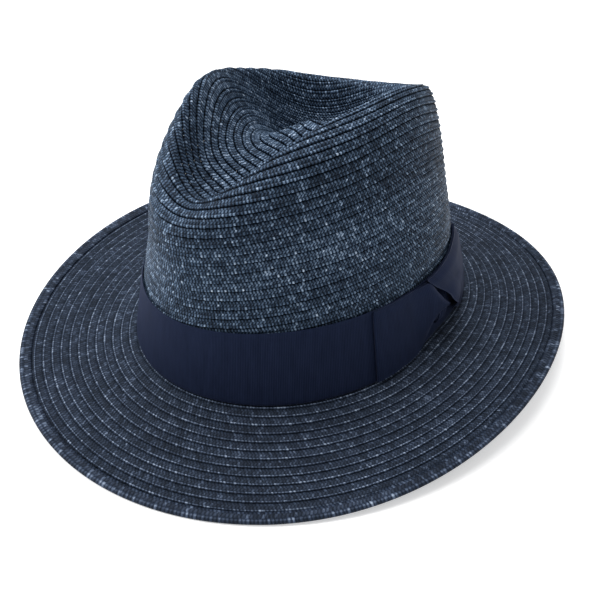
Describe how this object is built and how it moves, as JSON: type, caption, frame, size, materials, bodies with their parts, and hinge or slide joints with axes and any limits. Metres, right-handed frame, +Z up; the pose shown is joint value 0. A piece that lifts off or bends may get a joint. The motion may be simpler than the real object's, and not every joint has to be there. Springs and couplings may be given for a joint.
{
  "type": "fedora hat",
  "caption": "Sewn-braid straw fedora with a dented crown, wide brim, grosgrain ribbon band with a flat side bow, and an inner sweatband.",
  "frame": {"origin": "on the surface that the hat rests on, under the middle of the head opening", "axes": "+Z up, -Y towards the front of the hat, +X towards the wearer's left, where the bow is"},
  "size_m": [0.2864, 0.3264, 0.1447],
  "materials": {
    "braid": "navy plaited paper braid, heathered, satin",
    "braid_brim": "navy plaited paper braid, heathered, satin",
    "braid_edge": "navy plaited paper braid, doubled at the edge",
    "ribbon": "dark navy grosgrain ribbon, fine cross ribs",
    "sweatband": "black-navy woven tape, matt",
    "label": "blank off-white woven tab"
  },
  "bodies": {
    "root": {"crown": "braid", "brim": "braid_brim", "brim_edge_row": "braid_edge", "hat_band": "ribbon", "bow_front_loop": "ribbon", "bow_rear_loop": "ribbon", "bow_knot": "ribbon", "sweatband": "sweatband", "sweatband_seam_tape": "sweatband", "size_label": "label"}
  },
  "joints": []
}
